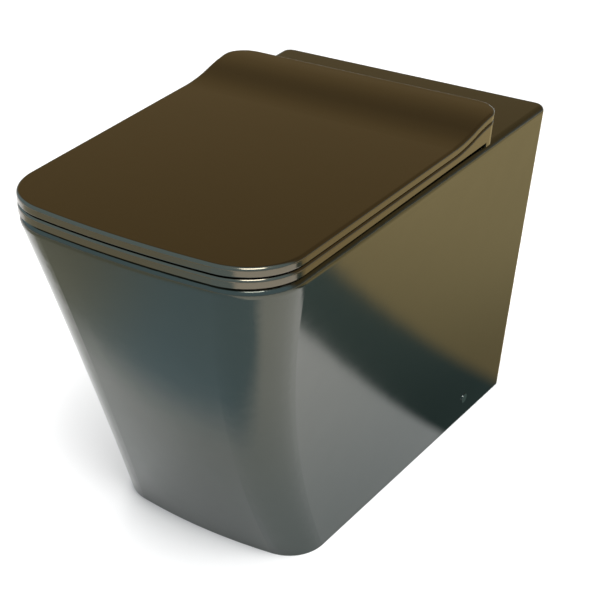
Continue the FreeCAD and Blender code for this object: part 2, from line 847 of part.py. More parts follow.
def make_trapway():
    """Trapway casting: from the bowl's sump over the weir to the outlet spigot."""
    body = doc.addObject("PartDesign::Body", "trapway_casting")
    trap_run(body, "Additive", S.trap_bore_radius + S.trap_wall)
    spigot = sketch_on(body, "XZ_Plane", "spigot", -(BACK - S.outlet_recess))
    circle(spigot, 0, S.outlet_height, S.outlet_radius)
    pad(body, spigot, S.outlet_length)
    cut_bowl_seat(body)
    trap_run(body, "Subtractive", S.trap_bore_radius)
    socket = sketch_on(body, "XZ_Plane", "outlet_bore", -(BACK - S.outlet_recess))
    circle(socket, 0, S.outlet_height, S.outlet_bore_radius)
    pocket(body, socket, S.outlet_length - S.outlet_step, upwards=True)
    keep(body, "pan_trapway")


def make_flush_duct():
    """Flush duct casting: from under the deck, forward to the bowl's back."""
    body = doc.addObject("PartDesign::Body", "flush_duct_casting")
    inlet_run(body, "Additive", S.inlet_radius + S.inlet_wall, BOWL_REAR - S.bowl_wall)
    cut_bowl_seat(body)
    inlet_run(body, "Subtractive", S.inlet_radius, INLET_END)
    keep(body, "pan_flush_duct")


# ---- buffers ------------------------------------------------------------------------
def ring_place(place):
    """X of the middle of the seat ring at one distance along Y."""
    return (LID.half_at(place) + OPENING.half_at(place)) / 2


SEAT_BUFFERS = (FRONT + S.buffer_front, AXIS_Y - S.buffer_rear_setback)
LID_BUFFERS = (FRONT + S.lid_buffer_front, AXIS_Y - S.lid_buffer_rear_setback)


def stem_places(rows, along_border):
    """Four points, mirrored left and right, for a pair of rows."""
    for place in rows:
        across = LID.half_at(place) - S.lid_border / 2 if along_border else ring_place(place)
        for sign in (-1, 1):
            yield across * sign, place


def stem_holes(name, level, rows):
    """Blind holes for buffer stems, upwards from a plate's lower face."""
    holes = []
    for index, (x, y) in enumerate(stem_places(rows, name == "lid")):
        start = (x, y, level)
        holes.append(cylinder(f"{name}_stem_hole_{index}", S.buffer_stem_radius, start, S.buffer_stem_length))
    return holes


def make_buffers(name, level, gap, rows, radius, tilted):
    """Soft pads with stems pressed into the plate above them."""
    pads = []
    for index, (x, y) in enumerate(stem_places(rows, name == "lid")):
        drop = (AXIS_Y - y) * S.closing_tilt.sine() if tilted else 0
        height = gap - S.buffer_gap - drop
        head = cylinder(f"{name}_pad_{index}", radius, (x, y, level - height), height)
        stem = cylinder(f"{name}_stem_{index}", S.buffer_stem_radius, (x, y, level), S.buffer_stem_length)
        pads.append(fuse(f"{name}_buffer_{index}", head, stem))
    closed_down(group(f"{name}_buffers", *pads))


# ---- seat and lid ---------------------------------------------------------------------
def straight_line(sketch, near, far):
    """A line between two fixed places."""
    ends = [Vector(Size.of(x).value, Size.of(y).value, 0) for x, y in (near, far)]
    line = sketch.addGeometry(Part.LineSegment(*ends), False)
    fix_point(sketch, line, 1, *near)
    fix_point(sketch, line, 2, *far)
    return line


def join_ends(sketch, lower, upper, bottom, top):
    """An upright line from the end of one line to the end of another."""
    ends = [Vector(Size.of(x).value, Size.of(y).value, 0) for x, y in (bottom, top)]
    upright = sketch.addGeometry(Part.LineSegment(*ends), False)
    sketch.addConstraint(Sketcher.Constraint("Coincident", upright, 1, *lower))
    sketch.addConstraint(Sketcher.Constraint("Coincident", upright, 2, *upper))


def rising_arcs(sketch, start, end):
    """Two equal tangent arcs that climb from one level line to the next."""
    x0, y0 = (Size.of(value).value for value in start)
    x1, y1 = (Size.of(value).value for value in end)
    run, rise = x1 - x0, y1 - y0
    radius = (run * run + rise * rise) / (4 * rise)
    angle = math.asin(run / 2 / radius)
    z_axis = Vector(0, 0, 1)
    lower = Part.Circle(Vector(x0, y0 + radius, 0), z_axis, radius)
    upper = Part.Circle(Vector(x1, y1 - radius, 0), z_axis, radius)
    quarter = math.pi / 2
    first = sketch.addGeometry(Part.ArcOfCircle(lower, -quarter, angle - quarter), False)
    second = sketch.addGeometry(Part.ArcOfCircle(upper, quarter, quarter + angle), False)
    sketch.addConstraint(Sketcher.Constraint("Tangent", first, 2, second, 2))
    sketch.addConstraint(Sketcher.Constraint("Equal", first, second))
    return first, second


def plate_profile(sketch, low, high, back, flat_under=False):
    """The side view of a plate that lies level, then rises smoothly to the hinge."""
    start = AXIS_Y - S.rise_length
    end = AXIS_Y - S.rise_clear
    tip = FRONT - S.plate_lead
    rear_low = low if flat_under else low + S.rear_rise
    rear_high = high + S.rear_rise
    faces = []
    for level, rear_level in ((low, rear_low), (high, rear_high)):
        if rear_level is level:
            line = straight_line(sketch, (tip, level), (back, level))
            faces.append((line, line))
            continue
        first_line = straight_line(sketch, (tip, level), (start, level))
        last_line = straight_line(sketch, (end, rear_level), (back, rear_level))
        first, second = rising_arcs(sketch, (start, level), (end, rear_level))
        sketch.addConstraint(Sketcher.Constraint("Tangent", first_line, 2, first, 1))
        sketch.addConstraint(Sketcher.Constraint("Tangent", second, 1, last_line, 1))
        faces.append((first_line, last_line))
    (under_front, under_rear), (over_front, over_rear) = faces
    join_ends(sketch, (under_front, 1), (over_front, 1), (tip, low), (tip, high))
    join_ends(sketch, (under_rear, 2), (over_rear, 2), (back, rear_low), (back, rear_high))


def trim_to_plan(body, plan, name):
    """Cut away everything outside a plan shape."""
    sketch = sketch_on(body, "XY_Plane", name, DECK - MARGIN)
    wide = S.pan_width
    rectangle(sketch, (-wide, -S.pan_length), (wide, S.pan_length))
    plan.draw(sketch)
    pocket(body, sketch, TALL, upwards=True)


def rounded_rim(body, upwards, name, radius):
    """Round a plate's outer edge on its upper or its lower side."""
    round_edges(body, radius, lambda shape, edge: is_rim(shape, edge, upwards), name)


def make_seat():
    """Seat ring: a slim moulded ring with a rear leg that carries the hinge bores."""
    body = doc.addObject("PartDesign::Body", "seat_moulding")
    width = S.pan_width + MARGIN
    profile = sketch_on(body, "YZ_Plane", "seat_profile")
    plate_profile(profile, SEAT_BOTTOM, SEAT_TOP, AXIS_Y, flat_under=True)
    pad(body, profile, width, both_ways=True)
    leg = sketch_on(body, "YZ_Plane", "seat_leg")
    rectangle(leg, (AXIS_Y - S.leg_length, DECK + S.leg_gap), (AXIS_Y, AXIS_Z))
    pad(body, leg, width, both_ways=True)
    trim_to_plan(body, LID, "seat_plan")
    opening = sketch_on(body, "XY_Plane", "seat_opening", DECK)
    OPENING.draw(opening)
    pocket(body, opening, TALL, upwards=True)
    rounded_rim(body, 1, "seat_top_rounding", S.edge_radius)
    barrel = sketch_on(body, "YZ_Plane", "seat_barrel")
    circle(barrel, AXIS_Y, AXIS_Z, S.barrel_radius)
    pad(body, barrel, (LID.half_at(AXIS_Y) - S.barrel_inset) * 2, both_ways=True)
    notches = sketch_on(body, "XY_Plane", "hinge_notches", DECK - PAST)
    for side in (-1, 1):
        near, far = span(side, NOTCH_INNER, NOTCH_OUTER)
        rectangle(notches, (near, AXIS_Y - S.notch_depth), (far, AXIS_Y + MARGIN))
    pocket(body, notches, TALL, upwards=True)
    bores = []
    pin_end = HOUSING_OUTER + S.pin_reach + PAST
    bores.append(bar_x("seat_pin_bore", S.shaft_radius + S.running_gap, HOUSING_OUTER, pin_end))
    damper_end = HOUSING_OUTER + S.moving_gap * 2 + S.damper_length + S.damper_end_wall * 2
    bores.append(bar_x("seat_damper_bore", S.damper_radius, -damper_end, -HOUSING_OUTER))
    bores.extend(stem_holes("seat", SEAT_BOTTOM, SEAT_BUFFERS))
    keep(closed_down(cut("seat_ring_drilled", body, *bores)), "seat_ring")


def make_lid():
    """Lid: a slim moulded cover, recessed underneath, with two hinge ears."""
    body = doc.addObject("PartDesign::Body", "lid_moulding")
    profile = sketch_on(body, "YZ_Plane", "lid_profile")
    plate_profile(profile, LID_BOTTOM, LID_TOP, LID_BACK + S.plate_lead)
    pad(body, profile, S.pan_width + MARGIN, both_ways=True)
    trim_to_plan(body, LID, "lid_plan")
    rounded_rim(body, 1, "lid_top_rounding", S.edge_radius)
    rounded_rim(body, -1, "lid_under_rounding", S.under_edge_radius)
    hollow = sketch_on(body, "XY_Plane", "lid_recess", LID_BOTTOM)
    inner = LID.inset(S.lid_border)
    inner.back = RISE_START - S.recess_setback
    inner.back_half = LID.half_at(inner.back) - S.lid_border
    inner.draw(hollow)
    pocket(body, hollow, S.lid_recess_depth, upwards=True)
    ears = []
    for side in (-1, 1):
        low, high = span(side, EAR_INNER, EAR_OUTER)
        ears.append(bar_x(f"ear_{side}", S.barrel_radius, low, high))
        reach = S.barrel_radius
        top = LID_BOTTOM + S.rear_rise + PAST
        ears.append(box(f"ear_web_{side}", (low, AXIS_Y - reach, AXIS_Z), (high, AXIS_Y + reach, top)))
    damper_start = HOUSING_INNER - S.moving_gap * 2 - S.damper_length
    bores = [
        bar_x("lid_damper_bore", S.damper_radius, damper_start, HOUSING_INNER),
        bar_x("lid_pin_bore", S.shaft_radius + S.running_gap, -HOUSING_INNER,
              -(HOUSING_INNER - S.pin_reach - PAST)),
    ]
    bores.extend(stem_holes("lid", LID_BOTTOM, LID_BUFFERS))
    keep(closed_down(cut("lid_drilled", fuse("lid_with_ears", body, *ears), *bores)), "lid")


# ---- hinges --------------------------------------------------------------------------
def side_name(side):
    """The side as the user sees it from in front of the pan."""
    return "right" if side > 0 else "left"


def make_post(side):
    """Stainless hinge post: a flange on the deck, a peg above and a stud below."""
    x = HINGE_X * side
    flange = cylinder("flange", S.post_flange_radius, (x, AXIS_Y, DECK), S.post_flange_height)
    peg = cylinder("peg", S.post_radius, (x, AXIS_Y, DECK), POST_TOP - DECK)
    stud = cylinder("stud", S.stud_radius, (x, AXIS_Y, DECK - S.stud_length), S.stud_length + PAST)
    label = "hinge_post_" + side_name(side)
    keep(fuse(label, flange, peg, stud), label)


def make_housing(side):
    """Hinge housing: it slides over its post and grips the two hinge shafts."""
    low, high = span(side, HOUSING_INNER, HOUSING_OUTER)
    x = HINGE_X * side
    front = box("block", (low, AXIS_Y - S.housing_front, HOUSING_BOTTOM),
                (high, AXIS_Y, AXIS_Z + S.barrel_radius))
    back = box("heel", (low, AXIS_Y, HOUSING_BOTTOM), (high, AXIS_Y + S.housing_back, AXIS_Z))
    barrel = bar_x("barrel", S.barrel_radius, low, high)
    socket = cylinder("post_socket", S.post_radius + S.running_gap, (x, AXIS_Y, HOUSING_BOTTOM - PAST),
                      POST_TOP + S.housing_gap - HOUSING_BOTTOM + PAST)
    near = bar_x("near_grip", S.shaft_radius, low, low + S.shaft_grip)
    far = bar_x("far_grip", S.shaft_radius, high - S.shaft_grip, high)
    half = S.button_width / 2 + S.moving_gap
    middle = (HOUSING_BOTTOM + AXIS_Z) / 2
    tall = S.button_height / 2 + S.moving_gap
    floor = AXIS_Y - S.post_radius - S.window_wall
    window = box("button_window", (x - half, AXIS_Y - S.housing_front - PAST, middle - tall),
                 (x + half, floor, middle + tall))
    label = "hinge_housing_" + side_name(side)
    keep(cut(label, fuse(label + "_solid", front, back, barrel), socket, near, far, window), label)


def make_button(side):
    """Release button in the front of its housing, pressed towards the post."""
    x = HINGE_X * side
    half = S.button_width / 2
    middle = (HOUSING_BOTTOM + AXIS_Z) / 2
    face = AXIS_Y - S.housing_front - S.button_proud
    heel = AXIS_Y - S.post_radius - S.window_wall - S.button_travel - S.moving_gap
    label = "release_button_" + side_name(side)
    low = (x - half, face, middle - S.button_height / 2)
    high = (x + half, heel, middle + S.button_height / 2)
    keep(box(label, low, high), label)


def make_pins():
    """Plain hinge pins: the seat's on the right, the lid's on the left."""
    inner = HOUSING_OUTER - S.shaft_grip
    keep(bar_x("seat_hinge_pin", S.shaft_radius, inner, HOUSING_OUTER + S.pin_reach), "seat_hinge_pin")
    inner = HOUSING_INNER + S.shaft_grip
    keep(bar_x("lid_hinge_pin", S.shaft_radius, -inner, -(HOUSING_INNER - S.pin_reach)), "lid_hinge_pin")


def make_damper(name, side, wall, outward):
    """Soft-close damper: a sealed barrel around a rotor whose shaft the housing grips.

    wall is the X of the housing face that the shaft leaves and outward is +1 or -1.
    """
    def bar(label, radius, start, end):
        low, high = wall + start * outward, wall + end * outward
        return bar_x(label, radius, low, high) if outward > 0 else bar_x(label, radius, high, low)

    face = S.moving_gap * 2
    throat = face + S.damper_end_wall
    chamber = face + S.damper_length - S.damper_end_wall
    shell = bar(name + "_shell", S.damper_radius, face, face + S.damper_length)
    mouth = bar(name + "_mouth", S.shaft_radius + S.running_gap, face, throat)
    room = bar(name + "_room", S.rotor_radius + S.running_gap, throat, chamber)
    keep(cut(name + "_damper_body", shell, mouth, room), name + "_damper_body")
    shaft = bar(name + "_shaft", S.shaft_radius, -S.shaft_grip, throat + PAST)
    rotor = bar(name + "_barrel", S.rotor_radius, throat + S.rotor_gap, chamber - S.rotor_gap)
    keep(fuse(name + "_damper_rotor", shaft, rotor), name + "_damper_rotor")


# ---- fastenings under the deck ----------------------------------------------------------
def make_deck_fastenings():
    """Rubber bushes, washers and wing nuts that hold the hinge posts to the deck."""
    bushes, washers, nuts = [], [], []
    bush_low = UNDER_DECK - S.bush_flange_height
    washer_low = bush_low - S.washer_height
    nut_low = washer_low - S.nut_height
    for side in (-1, 1):
        x = HINGE_X * side
        through = cylinder("bush_hole", S.stud_radius + S.bush_gap, (x, AXIS_Y, bush_low - PAST),
                           S.stud_length)
        sleeve = cylinder("bush_sleeve", S.seat_hole_radius - S.bush_squeeze, (x, AXIS_Y, bush_low),
                          DECK - S.bush_drop - bush_low)
        collar = cylinder("bush_collar", S.bush_flange_radius, (x, AXIS_Y, bush_low), S.bush_flange_height)
        bushes.append(cut("bush", fuse("bush_solid", sleeve, collar), through))
        disc = cylinder("washer_disc", S.washer_radius, (x, AXIS_Y, washer_low), S.washer_height)
        clear = cylinder("washer_hole", S.stud_radius + S.bush_gap, (x, AXIS_Y, washer_low - PAST),
                         S.washer_height + PAST * 2)
        washers.append(cut("washer", disc, clear))
        hub = cylinder("nut_hub", S.nut_radius, (x, AXIS_Y, nut_low), S.nut_height)
        half = S.wing_span / 2
        wings = box("nut_wings", (x - half, AXIS_Y - S.wing_thickness / 2, nut_low - S.wing_drop),
                    (x + half, AXIS_Y + S.wing_thickness / 2, nut_low + S.nut_height / 2))
        thread_low = nut_low - S.wing_drop - PAST
        thread = cylinder("nut_thread", S.stud_radius + S.thread_gap, (x, AXIS_Y, thread_low),
                          S.nut_height + S.wing_drop + PAST * 2)
        nuts.append(cut("nut", fuse("nut_solid", hub, wings), thread))
    group("seat_bolt_bushes", *bushes)
    group("seat_bolt_washers", *washers)
    group("seat_wing_nuts", *nuts)


# ---- floor fixing -----------------------------------------------------------------------
BRACKET_HOLE = -(S.skirt_wall + S.bracket_gap + S.bracket_plate + S.bracket_hole_reach)


def make_bracket(side):
    """Angle bracket that stands on the floor just inside one side wall."""
    outer = -(S.skirt_wall + S.bracket_gap)
    inner = outer - S.bracket_plate
    half = S.bracket_width / 2
    floor = -S.fixing_height
    leg = box("leg", (inner, -half, floor), (outer, half, floor + S.bracket_height))
    foot = box("foot", (outer - S.bracket_reach, -half, floor), (outer, half, floor + S.bracket_plate))
    tapped = bar_x("tapped_hole", S.screw_radius, inner - PAST, outer + PAST, 0, 0)
    bolt = cylinder("floor_hole", S.floor_hole_radius, (BRACKET_HOLE, 0, floor - PAST),
                    S.bracket_plate + PAST * 2)
    label = "floor_bracket_" + side_name(side)
    keep(on_side_wall(cut(label, fuse(label + "_solid", leg, foot), tapped, bolt), side), label)


def make_side_fixings():
    """Sleeves, screws and cover caps in the two side holes."""
    sleeves, screws, caps = [], [], []
    seat = -(S.cap_recess + S.screw_head_height + S.screw_seat_gap)
    back = -(S.skirt_wall + S.bracket_gap - S.screw_seat_gap)
    cap_foot = S.cap_lift - S.cap_recess
    for side in (-1, 1):
        tube = bar_x("sleeve_tube", S.screw_radius + S.sleeve_wall, back, seat, 0, 0)
        clear = bar_x("sleeve_bore", S.screw_radius + S.running_gap, back - PAST, seat + PAST, 0, 0)
        sleeves.append(on_side_wall(cut("sleeve", tube, clear), side))
        head = bar_x("screw_head", S.screw_head_radius, seat, seat + S.screw_head_height, 0, 0)
        tip = -(S.skirt_wall + S.bracket_gap + S.bracket_plate + S.screw_tip)
        shank = bar_x("screw_shank", S.screw_radius, tip, seat + PAST, 0, 0)
        socket = bar_x("screw_socket", S.screw_socket_radius, seat + PAST,
                       seat + S.screw_head_height + PAST, 0, 0)
        screws.append(on_side_wall(cut("screw", fuse("screw_solid", head, shank), socket), side))
        disc = bar_x("cap_disc", S.cap_radius, cap_foot, cap_foot + S.cap_thickness, 0, 0)
        stem = bar_x("cap_stem", S.screw_socket_radius - S.cap_stem_gap, seat + S.cap_stem_start,
                     cap_foot + S.cap_lift, 0, 0)
        caps.append(on_side_wall(fuse("cap", disc, stem), side))
    group("side_fixing_sleeves", *sleeves)
    group("side_fixing_screws", *screws)
    group("side_cover_caps", *caps)


# ---- build, check and write ---------------------------------------------------------------
def check_and_write():
    """Refuse a document with a failed object, then write one file per piece."""
    doc.recompute()
    failed = [item.Name for item in doc.Objects if set(item.State) & {"Invalid", "Error"}]
    if failed:
        raise RuntimeError(f"failed objects: {failed}")
    for item in NODES:
        if item.Shape.isNull() or not item.Shape.isValid():
            raise RuntimeError(f"bad shape: {item.Label}")
    os.makedirs("parts", exist_ok=True)
    for item in NODES:
        item.Shape.exportStep(f"parts/{item.Label}.step")
        bounds = item.Shape.BoundBox
        print(f"{item.Label:24s} {len(item.Shape.Solids)} solid(s) {item.Shape.Volume / 1000:9.1f} cm3"
              f"  y {bounds.YMin:7.1f} {bounds.YMax:7.1f}  z {bounds.ZMin:6.1f} {bounds.ZMax:6.1f}")


make_skirt_and_deck()
make_bowl()
make_trapway()
make_flush_duct()
make_seat()
make_lid()
make_buffers("seat", SEAT_BOTTOM, S.seat_gap, SEAT_BUFFERS, S.buffer_radius, tilted=True)
make_buffers("lid", LID_BOTTOM, S.lid_gap, LID_BUFFERS, S.lid_buffer_radius, tilted=False)
for hand in (1, -1):
    make_post(hand)
    make_housing(hand)
    make_button(hand)
    make_bracket(hand)
make_pins()
make_damper("seat", -1, -HOUSING_OUTER, -1)
make_damper("lid", 1, HOUSING_INNER, -1)
make_deck_fastenings()
make_side_fixings()
check_and_write()
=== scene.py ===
# %% [markdown]
# # A close coupled toilet in a dark mirror glaze
# The real object is a fired china pan with a moulded seat and lid.
# All three wear the same dark metallic finish, polished like a mirror.
# The shape of every part, with its joints, comes packed as a frame.
# This lesson loads that frame, gives each part its finish, and lights it.

# %% Load the frame
import math
import bpy
import bmesh
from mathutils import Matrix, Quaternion, Vector


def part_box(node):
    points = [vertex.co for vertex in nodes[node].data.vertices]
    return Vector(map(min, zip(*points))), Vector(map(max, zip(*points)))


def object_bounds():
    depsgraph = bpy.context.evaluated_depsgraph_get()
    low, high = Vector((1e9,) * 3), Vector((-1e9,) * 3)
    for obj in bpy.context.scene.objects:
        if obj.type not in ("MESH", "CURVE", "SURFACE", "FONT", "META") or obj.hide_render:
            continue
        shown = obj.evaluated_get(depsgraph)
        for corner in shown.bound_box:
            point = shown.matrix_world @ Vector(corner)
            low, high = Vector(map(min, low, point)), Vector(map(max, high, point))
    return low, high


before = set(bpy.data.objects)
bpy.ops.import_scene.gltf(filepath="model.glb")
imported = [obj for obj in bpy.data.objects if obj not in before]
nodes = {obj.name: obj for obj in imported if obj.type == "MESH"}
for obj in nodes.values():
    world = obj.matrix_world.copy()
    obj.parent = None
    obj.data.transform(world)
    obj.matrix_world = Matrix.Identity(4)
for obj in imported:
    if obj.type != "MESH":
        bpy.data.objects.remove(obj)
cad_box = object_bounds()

# %% [markdown]
# # Measure before making anything
# Every place in this file is worked out from the frame, in metres.
# The front of the pan faces -Y and the wall is at +Y. The whole box gives the
# middle, and the deck of the pan gives its front, back, width and height.

# %% Main places
box_low, box_high = cad_box
centre = (box_low + box_high) / 2
pan_low, pan_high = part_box("pan_deck")
lid_low, lid_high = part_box("lid")
half_width = pan_high.x
back = pan_high.y
front = pan_low.y
deck = pan_high.z
print("width", round(2 * half_width, 3), "length", round(back - front, 3), "deck", round(deck, 3))

# %% [markdown]
# # Shader maths as plain expressions
# A finish is a small calculation over the surface: noise, scaled and mixed.
# Blender does it with Math nodes, and wiring them one by one is hard to read.
# So one class wraps a socket and adds the nodes when Python sees + or *.
# `Finish` holds one material and makes any other node from its type.

# %% A socket that does arithmetic
class Value:
    """A node's output socket that can be used in an expression."""

    def __init__(self, finish, socket):
        self.finish = finish
        self.socket = socket

    def math(self, operation, other):
        return self.finish.node("ShaderNodeMath", {"operation": operation}, {0: self, 1: other})

    def __add__(self, other):
        return self.math("ADD", other)

    def __mul__(self, other):
        return self.math("MULTIPLY", other)


# %% A material that makes its own nodes
def socket_name(word):
    """The shader's own name for a socket, such as Base Color for base_color."""
    return word.replace("_", " ").title().replace("Ior", "IOR")


class Finish:
    """One material: its shader, its coordinates and its node maker."""

    def __init__(self, name, **constants):
        self.material = bpy.data.materials.new(name)
        self.material.use_nodes = True
        self.tree = self.material.node_tree
        self.shader = self.tree.nodes["Principled BSDF"]
        for socket, value in constants.items():
            self.shader.inputs[socket_name(socket)].default_value = value
        self.place = self.node("ShaderNodeTexCoord", {}, {}, "Object")

    def node(self, kind, settings, inputs, output=0):
        """Make any node: its settings, its inputs and which output is wanted."""
        made = self.tree.nodes.new(kind)
        for name, value in settings.items():
            setattr(made, name, value)
        for key, value in inputs.items():
            if isinstance(value, Value):
                self.tree.links.new(value.socket, made.inputs[key])
            else:
                made.inputs[key].default_value = value
        return Value(self, made.outputs[output])

    def along(self, axis):
        """The surface point's own X, Y or Z, in metres."""
        return self.node("ShaderNodeSeparateXYZ", {}, {"Vector": self.place}, axis)

    def ease(self, value, start, end):
        """0 at the start and 1 at the end, with a smooth crossing between."""
        inputs = {"Value": value, "From Min": start, "From Max": end}
        return self.node("ShaderNodeMapRange", {"interpolation_type": "SMOOTHSTEP"}, inputs)

    def noise(self, scale, detail=2.0, roughness=0.5, stretch=(1, 1, 1)):
        """Smooth noise from 0 to 1, as many lumps a metre as the scale says."""
        spot = self.node("ShaderNodeMapping", {}, {"Vector": self.place, "Scale": stretch})
        inputs = {"Vector": spot, "Scale": scale, "Detail": detail, "Roughness": roughness}
        return self.node("ShaderNodeTexNoise", {}, inputs)

    def between(self, factor, low, high):
        """A number that runs from low to high as the factor runs from 0 to 1."""
        inputs = {"Value": factor, "To Min": low, "To Max": high}
        return self.node("ShaderNodeMapRange", {}, inputs)

    def blend(self, factor, first, second):
        """A colour between two colours."""
        inputs = {0: factor, 6: as_colour(first), 7: as_colour(second)}
        return self.node("ShaderNodeMix", {"data_type": "RGBA"}, inputs, 2)

    def feed(self, **links):
        """Join varying values to the shader's own sockets."""
        for socket, value in links.items():
            target = self.shader.inputs[socket_name(socket)]
            self.tree.links.new(value.socket, target)

    def bump(self, height, distance, strength=1.0):
        """Small relief: the height runs from 0 to 1 over a distance in metres."""
        inputs = {"Height": height, "Distance": distance, "Strength": strength}
        self.feed(normal=self.node("ShaderNodeBump", {}, inputs))

    def wear(self, names):
        """Give this finish to every slot of the named parts."""
        for name in names:
            for slot in nodes[name].material_slots:
                slot.material = self.material
        print(self.material.name, "on", len(names), "parts")


def as_colour(value):
    """A colour socket's value, or the link that is given instead."""
    return value if isinstance(value, Value) else (*value, 1.0)

# %% [markdown]
# # The mirror glaze on the china
# A metallic glaze is a thin film of dark metal fired onto the china.
# It is a metal in the shader, dark and slightly green, so it takes its look
# from the room. A plain metal would look like new chrome, so three quiet faults
# are added: cloudy patches where the film is thicker, a faint waviness left by
# the poured glaze, and fine wiping marks that only change the roughness.
# The base colour is also a little lighter and warmer towards the rim, and darker towards the floor.

# %% China glaze
GLAZE_AT_FLOOR = (0.058, 0.068, 0.063)
GLAZE_AT_RIM = (0.076, 0.077, 0.062)
GLAZE_CLOUD = (0.042, 0.052, 0.055)
GLAZE_GLOSS = (0.10, 0.20)
GLAZE_WAVE_HEIGHT = 0.0004

glaze = Finish("glazed_china", metallic=1.0)
clouds = glaze.noise(9.0, detail=3.0)
mottle = glaze.noise(60.0, detail=2.0)
specks = glaze.noise(900.0, detail=1.0)
# Base colour runs from darker at the floor to lighter and warmer at the rim.
tint = glaze.blend(glaze.ease(glaze.along("Z"), 0.0, deck), GLAZE_AT_FLOOR, GLAZE_AT_RIM)
film = glaze.blend(clouds * 0.35 + mottle * 0.10, tint, glaze.blend(0.5, tint, GLAZE_CLOUD))
wipes = glaze.noise(14.0, detail=4.0, roughness=0.6, stretch=(1, 1, 7))
glaze.feed(base_color=film, roughness=glaze.between(wipes * 0.7 + specks * 0.3, *GLAZE_GLOSS))
waves = glaze.noise(22.0, detail=1.0) * 0.85 + specks * 0.02 + mottle * 0.13
glaze.bump(waves, GLAZE_WAVE_HEIGHT, 0.35)
glaze.wear(["pan_deck", "pan_skirt", "pan_bowl", "pan_trapway", "pan_flush_duct"])

# %% [markdown]
# # The lacquer on the seat and the lid
# Seat and lid are moulded plastic with the same metal film under clear lacquer.
# The lacquer is a second, clear layer, which the shader calls a coat.
# The base colour on plastic is the same dark film made browner than on china, a painted
# reflection of the brown room that the lid mirrors. It is flatter, because a mould leaves
# no waves. Handling leaves it a little duller along the front.

# %% Seat and lid lacquer
# Both base colours are the dark film with a painted reflection of the brown room mixed in.
LACQUER_FILM_WITH_PAINTED_BROWN = (0.112, 0.096, 0.068)
LACQUER_CLOUD_WITH_PAINTED_BROWN = (0.098, 0.090, 0.072)
LACQUER_GLOSS = (0.11, 0.20)
HANDLED_DEPTH = 0.2

lacquer = Finish("seat_shell", metallic=1.0, coat_weight=0.15, coat_roughness=0.04)
lacquer_clouds = lacquer.noise(7.0, detail=3.0)
lacquer_grain = lacquer.noise(1100.0, detail=1.0)
near_front = lacquer.ease(lacquer.along("Y"), front + HANDLED_DEPTH, front)
handled = near_front * lacquer.noise(26.0, detail=3.0)
lacquer.feed(base_color=lacquer.blend(lacquer_clouds * 0.6, LACQUER_FILM_WITH_PAINTED_BROWN, LACQUER_CLOUD_WITH_PAINTED_BROWN))
lacquer.feed(roughness=lacquer.between(handled * 0.6 + lacquer_grain * 0.4, *LACQUER_GLOSS))
lacquer.bump(lacquer.noise(35.0, detail=1.0) * 0.9 + lacquer_grain * 0.1, 0.0002, 0.3)
lacquer.wear(["seat_ring", "lid"])

# %% [markdown]
# # The small working parts
# Hidden parts still get a true finish, because the lid opens and shows them.
# Rubber is matt with fine pores. Turned steel has rings round its axis, which
# a wave pattern across one axis gives. Moulded plastic has a spark-eroded
# grain, and nylon is milky with flow marks. Each is a few lines of noise.

# %% Rubber buffers and bushes
rubber = Finish("buffer_rubber", specular_ior_level=0.3)
rubber_pores = rubber.noise(1400.0, detail=2.0)
rubber_dust = rubber.noise(90.0, detail=3.0)
rubber.feed(base_color=rubber.blend(rubber_dust * 0.7, (0.018, 0.018, 0.019), (0.050, 0.049, 0.047)))
rubber.feed(roughness=rubber.between(rubber_pores, 0.62, 0.88))
rubber.bump(rubber_pores, 0.0002, 0.6)
rubber.wear(["seat_buffers", "lid_buffers", "seat_bolt_bushes"])

# %% Turned steel pins, posts and screws
steel = Finish("hinge_steel", metallic=1.0)
turning = steel.noise(500.0, detail=3.0, stretch=(6.0, 1.0, 1.0))
stain = steel.noise(120.0, detail=3.0)
steel.feed(base_color=steel.blend(stain * 0.5, (0.62, 0.61, 0.59), (0.42, 0.41, 0.39)))
steel.feed(roughness=steel.between(turning, 0.16, 0.38))
steel.bump(turning, 0.00006, 0.5)
steel.wear(["hinge_post_right", "hinge_post_left", "seat_hinge_pin", "lid_hinge_pin",
            "seat_damper_rotor", "lid_damper_rotor", "side_fixing_screws"])

# %% Satin plastic housings and washers
satin = Finish("hinge_plastic")
grain = satin.noise(1800.0, detail=2.0)
satin_black = satin.blend(satin.noise(70.0, detail=2.0), (0.022, 0.022, 0.021), (0.036, 0.035, 0.033))
satin.feed(base_color=satin_black)
satin.feed(roughness=satin.between(grain, 0.38, 0.58))
satin.bump(grain, 0.00008, 0.5)
satin.wear(["hinge_housing_right", "hinge_housing_left", "seat_bolt_washers"])

# %% Plated buttons and side caps
plating = Finish("button_chrome", metallic=1.0)
smears = plating.noise(240.0, detail=3.0)
plating.feed(base_color=plating.blend(smears * 0.5, (0.34, 0.34, 0.32), (0.24, 0.25, 0.24)))
plating.feed(roughness=plating.between(smears, 0.06, 0.20))
plating.bump(plating.noise(500.0, detail=1.0), 0.00004, 0.3)
plating.wear(["release_button_right", "release_button_left", "side_cover_caps"])

# %% Nylon brackets, nuts and sleeves
nylon = Finish("bracket_nylon", subsurface_weight=0.08, subsurface_scale=0.004)
flow = nylon.noise(45.0, detail=4.0, stretch=(1.0, 3.0, 1.0))
nylon.feed(base_color=nylon.blend(flow, (0.70, 0.69, 0.64), (0.56, 0.55, 0.50)))
nylon.feed(roughness=nylon.between(nylon.noise(1200.0), 0.36, 0.56))
nylon.bump(flow, 0.00015, 0.4)
nylon.wear(["floor_bracket_right", "floor_bracket_left", "seat_wing_nuts", "side_fixing_sleeves"])

# %% Smooth acetal damper barrels
acetal = Finish("damper_plastic")
swirl = acetal.noise(160.0, detail=3.0, stretch=(3.0, 1.0, 1.0))
acetal.feed(base_color=acetal.blend(swirl, (0.16, 0.16, 0.17), (0.23, 0.23, 0.24)))
acetal.feed(roughness=acetal.between(swirl, 0.18, 0.34))
acetal.bump(swirl, 0.00005, 0.3)
acetal.wear(["seat_damper_body", "lid_damper_body"])

